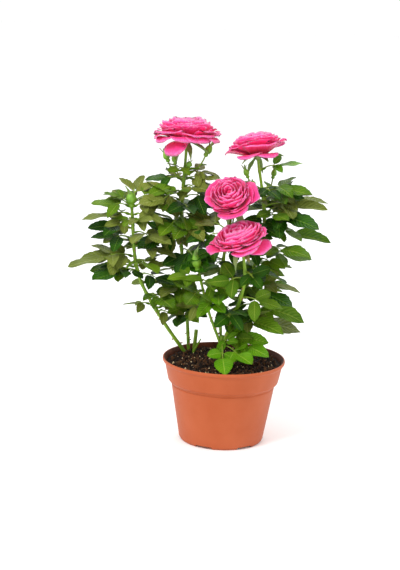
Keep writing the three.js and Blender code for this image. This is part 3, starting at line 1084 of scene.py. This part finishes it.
def companion(foliage, cane, joint, tip, normal, breadth, tint, rng):
    """A smaller leaf from the next joint, turned to one side of the first."""
    swing = math.radians(rng.choice((-1, 1)) * rng.uniform(36, 62))
    out = (tip - joint) * rng.uniform(0.66, 0.9)
    out.rotate(Matrix.Rotation(swing, 3, "Z"))
    height = joint.z + rng.choice((-1, 1)) * rng.uniform(8, 15) * MM
    foot, _, _ = station(cane, height)
    other = tint if rng.random() < 0.6 else rng.choice(("dark", "mid", "olive"))
    face = normal + Vector((rng.uniform(-0.3, 0.3), rng.uniform(-0.5, 0.1), 0))
    foliage.leaf(cane, height, foot + out + UP * rng.uniform(-6, 6) * MM, face, breadth, other, 1, rng)


INNER_BREADTH = 44 * MM
# Leaves that hang between the masses, close in front of the canes or behind them: cane, height,
# heading, reach, rise, how far the face leans to the front, and tint; millimetres and degrees.
INNER_LEAVES = """
tall 246 -55 40 6 25 olive, tall 232 -160 44 8 20 olive, tall 228 -75 46 2 40 dark,
tall 206 -88 50 8 45 mid, tall 176 -80 48 6 50 dark, tall 146 -98 44 0 60 mid,
tall 128 -80 46 -2 60 mid, mid 166 -150 34 4 40 mid, mid 158 -30 38 0 45 mid, mid 136 170 32 0 45 olive,
mid 142 -60 40 2 45 young, centre 206 -160 42 2 40 dark, centre 176 -110 42 4 45 dark,
centre 192 -40 36 0 40 dark, front 170 -150 38 -2 50 mid, front 150 -20 42 -4 45 mid,
front 134 -120 36 -8 50 dark, left 212 -150 30 2 35 olive, left 176 -160 30 4 45 olive,
left 206 180 44 4 20 dark, left 168 190 46 0 20 mid, left 164 -120 30 2 30 dark,
left 172 -30 30 4 25 olive, left 160 -25 44 -2 20 dark, left 138 -20 34 0 15 mid,
left 124 10 44 -4 5 olive, left 214 -60 36 10 35 olive, left 229 15 38 20 25 mid,
left 230 75 32 26 15 olive, left 226 150 34 14 20 mid, right 214 -150 36 4 20 mid,
centre 212 30 38 4 20 dark, centre 198 10 40 2 30 mid, right 236 -120 32 6 20 olive,
right 190 -140 36 0 40 dark, right 160 -160 34 4 35 mid, left 130 188 30 2 10 olive,
left 122 -40 34 4 30 olive, right 118 -20 40 8 20 olive, tall 236 -20 46 6 25 dark,
tall 240 -110 40 10 30 mid, tall 196 -140 44 6 40 olive, tall 214 -30 44 2 35 olive,
right 222 -30 48 6 20 dark, right 150 -70 36 4 30 mid, right 226 -60 40 4 25 mid,
tall 250 110 38 8 -30 olive, tall 238 60 40 6 -35 mid, tall 222 140 44 4 -35 dark,
tall 204 80 44 2 -40 mid, tall 186 120 44 2 -35 olive, tall 168 60 42 0 -40 dark,
tall 150 110 42 -2 -45 mid, tall 132 80 40 -4 -45 dark, right 228 100 38 6 -30 mid,
right 208 60 42 4 -35 dark, right 188 120 42 2 -35 olive, right 166 80 42 0 -40 mid,
right 144 110 40 -2 -40 dark, right 122 70 38 -4 -40 mid, left 206 90 34 8 -30 dark,
left 188 60 38 4 -35 mid, left 168 110 38 0 -35 olive, left 150 70 36 -2 -40 dark,
right 250 -10 50 2 14 mid, right 246 25 44 0 5 olive, right 248 -60 34 0 25 dark,
right 250 175 40 0 20 olive, right 232 -5 62 4 14 olive, right 212 -100 40 4 35 dark,
centre 204 -10 44 4 30 dark, left 218 -30 36 2 30 olive, left 216 -100 28 0 40 mid,
left 218 170 34 0 15 mid, left 176 186 54 0 12 olive, stock 98 -60 26 8 40 young,
stock 100 -20 32 12 35 mid, tall 260 -5 36 2 15 olive, tall 264 -120 26 4 20 mid,
left 231 -170 26 14 10 mid, front 178 -60 36 -6 45 dark, centre 162 -60 40 0 45 mid,
stock 102 -8 46 4 35 young, right 216 -95 34 0 55 dark, right 178 -40 34 2 40 mid,
left 196 186 42 4 18 dark
"""


def grow_inner_leaves(foliage):
    for number, row in enumerate(INNER_LEAVES.split(",")):
        cane, *numbers, tint = row.split()
        height, heading, reach, rise, face = map(float, numbers)
        cane = cane if cane in LINES else "cane_" + cane
        rng = random.Random(f"inner leaf {number}")
        lean = math.radians(face)
        foot, _, _ = station(cane, height * MM)
        out = polar(math.radians(heading), reach, rise) * MM
        normal = UP * math.cos(lean) + FRONT * math.sin(lean)
        foliage.leaf(cane, height * MM, foot + out, normal, INNER_BREADTH, tint, 1, rng)


# ------------------------------------------------------------------ blooms
# Each bloom, on the end of the cane it is named after: its radius, the height of its dome and the
# depth of its cup in millimetres, how far its middle is past the cane's end, the heading and
# degrees of its lean, how far its loose outer petals arch up before they hang (0 if not given),
# and those petals (heading, reach, rise, width).
BLOOMS = {
    "bloom_tall": {
        "radius": 34, "dome": 18, "cup": 11, "lift": 7.5, "heading": 90, "lean": 8,
        "arch": 0.8,
        "loose": [
            (-125, 25, -20, 28), (-168, 32, -6, 32), (-20, 32, -8, 32), (-62, 31, -6, 32), (-95, 30, -5, 30),
            (25, 32, -5, 32), (70, 31, -6, 32), (115, 31, -5, 32), (155, 32, -5, 32), (-145, 31, -8, 30),
        ],
    },
    "bloom_right": {
        "radius": 29.5, "dome": 14, "cup": 12, "lift": 10, "heading": 125, "lean": 17,
        "loose": [
            (-170, 31, -9, 24), (5, 30, 6, 22), (-60, 27, -7, 28), (-110, 27, -9, 28), (60, 28, 0, 28),
            (115, 29, -9, 28),
        ],
    },
    "bloom_centre": {
        "radius": 23.5, "dome": 13, "cup": 15, "lift": 14, "heading": -110, "lean": 42,
        "loose": [
            (10, 28, 5, 30), (-80, 26, -17, 32), (-140, 25, -8, 28), (90, 24, 12, 28), (150, 25, 6, 28),
        ],
    },
    "bloom_front": {
        "radius": 28.5, "dome": 14, "cup": 11, "lift": 7, "heading": -150, "lean": 22,
        "loose": [
            (-165, 31, -14, 28), (-25, 30, -9, 32), (-75, 28, -11, 28), (40, 29, 2, 28), (95, 29, 3, 28),
            (150, 30, -6, 28),
        ],
    },
}
PETALS = 46
PETAL_ROWS = 10
PETAL_COLUMNS = 11
PETAL_THICKNESS = 0.22 * MM
GOLDEN_ANGLE = math.radians(137.5)
# The share of the way out to the rim goes with this power of a petal's number.
RING_POWER = 0.74
# How far a petal may stray from the spiral to either side, in radians.
PETAL_STRAY = 0.45
SEPAL_COUNT = 5
# The hip under a bloom, as radius and height in millimetres.
HIP = [(1.7, -3.5), (2.6, -2.2), (3.7, 0.2), (4.1, 2.4), (3.6, 4.6), (2.4, 5.6)]


def bezier(path, t):
    a, b, c, d = path
    u = 1 - t
    return a * u ** 3 + b * 3 * u * u * t + c * 3 * u * t * t + d * t ** 3


def petal(heap, place, azimuth, path, width, hug, curl, ruffle, rng):
    """One petal as a thin closed sheet. Its middle follows a path of four (radius, height)
    points from claw to tip; hug says how closely it wraps the bloom's axis."""
    rows, uv_rows = [], []
    path = [Vector(p) for p in path]
    phase, notch, skew = rng.uniform(0, 6.3), rng.uniform(-0.02, 0.07), rng.uniform(-0.05, 0.05)
    turn = Matrix.Rotation(azimuth, 4, "Z")
    for i in range(PETAL_ROWS):
        row, uvs = [], []
        for j in range(PETAL_COLUMNS):
            s = 1 - 2 * j / (PETAL_COLUMNS - 1)
            along = i / (PETAL_ROWS - 1)
            t = along * (1 - 0.06 * s * s - 0.2 * s ** 6 - notch * (1 - s * s) ** 4 * along - skew * s)
            half = width / 2 * (0.18 + 0.82 * math.sin(math.pi / 2 * min(1, t / 0.66)))
            half *= 1 - 0.22 * max(0, (t - 0.7) / 0.3) ** 2
            spot = bezier(path, t)
            ahead = (bezier(path, t + 0.02) - bezier(path, t - 0.02)).normalized()
            normal = Vector((-ahead.y, ahead.x))
            edge = max(0, t - 0.76) / 0.24
            push = 0.1 * half * s * s * t - curl * edge * edge * (0.6 + 0.4 * abs(s))
            wave = math.sin(4.6 * s + phase) + 0.5 * math.sin(9.7 * s + 2.3 * phase)
            push += ruffle * t ** 3 * wave * (0.35 + 0.65 * abs(s))
            wrap = max(hug * abs(spot.x), width * 0.3)
            angle = s * half / wrap
            x = spot.x + normal.x * push - wrap * (1 - math.cos(angle))
            row.append(place @ (turn @ Vector((x, wrap * math.sin(angle), spot.y + normal.y * push))))
            uvs.append((0.5 - 0.5 * s, along))
        rows.append(row)
        uv_rows.append(uvs)
    heap.add(*closed_sheet(rows, PETAL_THICKNESS, uv_rows))


def petal_path(ring, radius, dome, cup, rng):
    """The course of a petal that ends a share, ring, of the way from the middle to the rim. The
    inner ones stand and lean in; the outer ones rise, roll over and hang at their tips."""
    roll = min(1, max(0, (ring - 0.4) / 0.55)) ** 1.3
    reach = radius * (0.1 + 0.9 * ring) * rng.uniform(0.95, 1.04)
    dip = dome * 0.2 * math.exp(-((ring / 0.25) ** 2))
    height = dome * (1 - ring ** 2.1) - dip - cup * 0.45 * ring ** 7 + rng.uniform(-0.8, 0.8) * MM
    claw = ((1.2 + 2 * ring) * MM, -cup * (0.6 + 0.25 * ring))
    low = (reach * (1.05 - 0.5 * roll), -cup * 0.4)
    high = (reach * (1.16 - 0.2 * roll), height * (0.5 + 0.5 * roll) + dome * 0.34 * roll)
    return claw, low, high, (reach, height)


def add_heart(heap, place, dome, cup):
    """The closed core that the innermost petals stand round."""
    profile = [(0.3 * MM, -0.6 * cup), (2.4 * MM, -0.4 * cup), (2.7 * MM, 0.2 * dome), (1.7 * MM, 0.5 * dome),
               (0.3 * MM, 0.6 * dome)]
    points, faces = turned_body(profile, 12, lambda a, h: 1 + 0.12 * math.sin(3 * a + 900 * h))
    heap.add([place @ p for p in points], faces, [(0.5, 0.45)] * len(points))


def add_loose_petals(heap, place, spec, cup, rng):
    """The outer petals that stand away from the rosette, each to its own place."""
    inverse = place.to_3x3().inverted()
    arch = spec.get("arch", 0)
    for turn, reach, rise, width in spec["loose"]:
        local = inverse @ ((polar(math.radians(turn)) * reach + UP * rise) * MM)
        far, height = math.hypot(local.x, local.y), local.z
        low = (far * (0.45 + 0.06 * arch), -cup * (0.7 - 0.5 * arch))
        high = (far * (0.95 + 0.08 * arch), height + (6 + 4 * arch) * MM)
        path = (3 * MM, -cup * 0.85), low, high, (far, height)
        petal(heap, place, math.atan2(local.y, local.x), path, width * MM, 1.15, 2 * MM, 1.5 * MM, rng)


def make_bloom(name, spec, sepals, hips):
    """A many-petalled rosette on the end of its cane, with its hip and sepals."""
    rng = random.Random(name)
    heading, lean = math.radians(spec["heading"]), math.radians(spec["lean"])
    axis = polar(heading, math.sin(lean), math.cos(lean))
    neck = LINES[name.replace("bloom", "cane")][-1][0]
    radius, dome, cup = spec["radius"] * MM, spec["dome"] * MM, spec["cup"] * MM
    place = upright(axis, neck + axis * spec["lift"] * MM)
    heap = Heap()
    for i in range(PETALS):
        ring = ((i + 0.5) / PETALS) ** RING_POWER
        path = petal_path(ring, radius, dome, cup, rng)
        width = radius * (0.4 + 0.74 * ring) * rng.uniform(0.82, 1.18)
        azimuth = i * GOLDEN_ANGLE + rng.uniform(-PETAL_STRAY, PETAL_STRAY)
        curl = (0.5 + 2.4 * ring * ring) * MM
        ruffle = (0.4 + 1.1 * ring) * MM
        petal(heap, place, azimuth, path, width, 0.95 + 0.3 * ring, curl, ruffle, rng)
    add_heart(heap, place, dome, cup)
    add_loose_petals(heap, place, spec, cup, rng)
    for k in range(SEPAL_COUNT):
        angle = TURN * k / SEPAL_COUNT + rng.uniform(-0.2, 0.2)
        out = (place.to_3x3() @ polar(angle, 1, rng.uniform(-1.1, 0.1))).normalized()
        at = neck + axis * 1.5 * MM + out * 1.5 * MM
        sepals.append((axes(out, axis, at), Vector((1, 1, 1)) * rng.uniform(19, 27) * MM, k % 2))
    points, faces = turned_body([(r * MM, h * MM) for r, h in HIP], 16)
    seat = upright(axis, neck)
    hips.add([seat @ p for p in points], faces)
    return heap.piece(name + "_petals", PETAL)


# ------------------------------------------------------------------ buds and small shoots
# Each shoot: its cane, height, heading, reach and rise, and its bud's radius and length, in
# millimetres and degrees.
SHOOTS = [
    ("cane_tall", 254, 197, 16, 18, 3.4, 9), ("cane_tall", 257, -8, 20, 21, 3.6, 10),
    ("cane_tall", 260, -60, 7, 6, 3.0, 6), ("cane_tall", 248, 120, 18, 16, 3.0, 8),
    ("cane_right", 243, 182, 15, 17, 2.8, 8), ("cane_right", 246, 200, 8, 6, 2.2, 5),
    ("cane_centre", 200, 70, 22, 30, 3.2, 9), ("cane_right", 236, 60, 16, 22, 2.8, 8),
]
SHOOT_STEPS = 8
# Canes that end in a bud, with its radius and length in millimetres.
TIP_BUDS = [("cane_left", 5.4, 12), ("cane_mid", 4.4, 15)]
# A bud's outline, as shares of its radius and its length.
BUD = [
    (0.4, -0.34), (0.62, -0.26), (0.66, -0.12), (0.5, -0.02), (0.82, 0.1), (1.0, 0.28),
    (0.94, 0.48), (0.7, 0.7), (0.38, 0.88), (0.12, 1.0),
]


def add_bud(buds, sepals, at, axis, radius, length, rng):
    """A closed bud: hip, five shallow folds for its closed sepals and three loose tips."""
    profile = [(r * radius, h * length) for r, h in BUD]
    points, faces = turned_body(profile, 20, lambda a, h: 1 + (0.07 * math.cos(5 * a) if h > 0 else 0))
    seat = upright(axis, at)
    buds.add([seat @ p for p in points], faces)
    turn = seat.to_3x3()
    for k in range(3):
        angle = TURN * k / 3 + rng.uniform(0, 1)
        start = at + turn @ polar(angle) * radius * 0.45 + axis * length * 0.72
        place = axes(turn @ polar(angle, 0.3, 1), turn @ -polar(angle), start)
        sepals.append((place, Vector((1, 1, 1)) * length * rng.uniform(0.6, 0.85), 0))


def grow_shoots(foliage, buds, sepals):
    for number, (cane, height, heading, reach, rise, radius, length) in enumerate(SHOOTS):
        rng = random.Random(f"shoot {number}")
        foot, _, _ = station(cane, height * MM)
        flat = polar(math.radians(heading))
        end = foot + (flat * reach + UP * rise) * MM
        bend = foot + flat * reach * 0.75 * MM + UP * rise * 0.3 * MM
        line = [(curve(foot, bend, end, i / SHOOT_STEPS), (1.0 - 0.03 * i) * MM)
                for i in range(SHOOT_STEPS + 1)]
        foliage.stalks.append(line)
        axis = (line[-1][0] - line[-3][0]).normalized()
        add_bud(buds, sepals, end + axis * length * 0.3 * MM, axis, radius * MM, length * MM, rng)
        side = flat.cross(UP)
        for hand, share in ((1, 3), (-1, 5)):
            forward = flat * 0.5 + side * hand * rng.uniform(0.5, 0.9) + UP * rng.uniform(0, 0.4)
            tint = rng.choice(("young", "mid", "olive"))
            foliage.blade(tint, line[share][0], forward, UP + flat * 0.3, rng.uniform(11, 17) * MM, rng, 0.8)
    for cane, radius, length in TIP_BUDS:
        rng = random.Random(f"tip bud {cane}")
        top, _ = LINES[cane][-1]
        axis = (top - LINES[cane][-4][0]).normalized()
        add_bud(buds, sepals, top - axis * length * 0.2 * MM, axis, radius * MM, length * MM, rng)


def ground_shoots():
    """The cut stub and the young green shoot beside the left canes, as stems."""
    foot, _, _ = station("cane_tall", 80 * MM)
    stub = foot + Vector((5, -2, -6)) * MM
    shoot = foot + Vector((2, -6, -6)) * MM
    return [
        [(stub + Vector((0.4 * i, 0, 5.5 * i)) * MM, 1.9 * MM) for i in range(6)],
        [(shoot + Vector((2.0 * i, -0.4 * i, 4 * i)) * MM, (1.3 - 0.12 * i) * MM) for i in range(6)],
    ]


# ------------------------------------------------------------------ prickles
BARE_SHARE = 0.45


def prickle_kind():
    points, faces = turned_body([(0.42, -0.1), (0.3, 0.25), (0.16, 0.6), (0.03, 1.0)], 6)
    return Heap().add([Vector((p.z, p.y * 0.7, p.x - 0.35 * max(p.z, 0) ** 2)) for p in points], faces)


def prickle_places():
    rng = random.Random(23)
    places = []
    for name, line in LINES.items():
        for point, radius in fine_line(line, 7 * MM)[3:-8]:
            if rng.random() < BARE_SHARE:
                continue
            upward = station(name, point.z)[1]
            around = Matrix.Rotation(rng.uniform(0, TURN), 3, upward)
            out = around @ upward.orthogonal().normalized()
            place = axes(out - upward * 0.15, upward, point + out * radius * 0.8)
            places.append((place, Vector((1, 1, 1)) * (rng.uniform(1.8, 3.0) * MM), 0))
    return places


# ------------------------------------------------------------------ the whole plant
def ride(piece, slot, *nodes):
    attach(piece, "root")
    if nodes:
        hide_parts(*nodes)


def placed(name, places, kinds, *finishes):
    """One piece with a kind on each place, finished above, below and along the rib."""
    upper, under, rib = finishes
    collection = variant_collection(name + "_kind", kinds)
    piece = grown(points_mesh(name + "_points", places), PLACING_TREE, name, Variants=collection,
                  Upper_Side=upper, Underside=under, Rib=rib)
    discard(collection)
    return piece


def skinned(name, stems, sides, relief, relief_scale, bark):
    """One piece with a tube along each stem, its bark's relief in millimetres."""
    return grown(lines_mesh(name + "_lines", stems), STEM_TREE, name, Sides=sides, Relief=relief * MM,
                 Relief_Scale=relief_scale, Bark=bark)


def make_plant():
    foliage = Foliage()
    grow_foliage(foliage)
    grow_inner_leaves(foliage)
    buds, hips, sepals = Heap(), Heap(), []
    grow_shoots(foliage, buds, sepals)

    for name, spec in BLOOMS.items():
        ride(make_bloom(name, spec, sepals, hips), "blooms", name)

    rng = random.Random(5)
    canes = [fine_line(swollen(LINES[name], foliage.joints[name], rng)) for name in LINES]
    ride(skinned("canes_bark", canes + ground_shoots(), 12, 0.5, 320.0, CANE), "canes", *LINES)
    ride(skinned("leaf_stalks", foliage.stalks, 6, 0.15, 500.0, STALK), "canes")

    kinds = [leaflet(*kind) for kind in LEAFLET_KINDS]
    for tint, places in foliage.places.items():
        blades = placed("leaflets_" + tint, places, kinds, TINTS[tint], UNDERSIDE, RIB)
        ride(blades, "foliage", *foliage.nodes[tint])

    kinds = [leaflet(*kind, teeth=SEPAL_TEETH) for kind in SEPAL_KINDS]
    ride(placed("sepals", sepals, kinds, SEPAL, SEPAL, BUD_GREEN), "foliage")
    ride(placed("prickles", prickle_places(), [prickle_kind()], PRICKLE, PRICKLE, PRICKLE), "canes")
    ride(buds.piece("buds", BUD_GREEN), "foliage")
    ride(hips.piece("hips", SEPAL), "foliage")


add_camera()
add_studio()
make_floor()
ride(make_pot(), "pot", "pot")
for crumbs in make_compost():
    ride(crumbs, "compost")
make_plant()
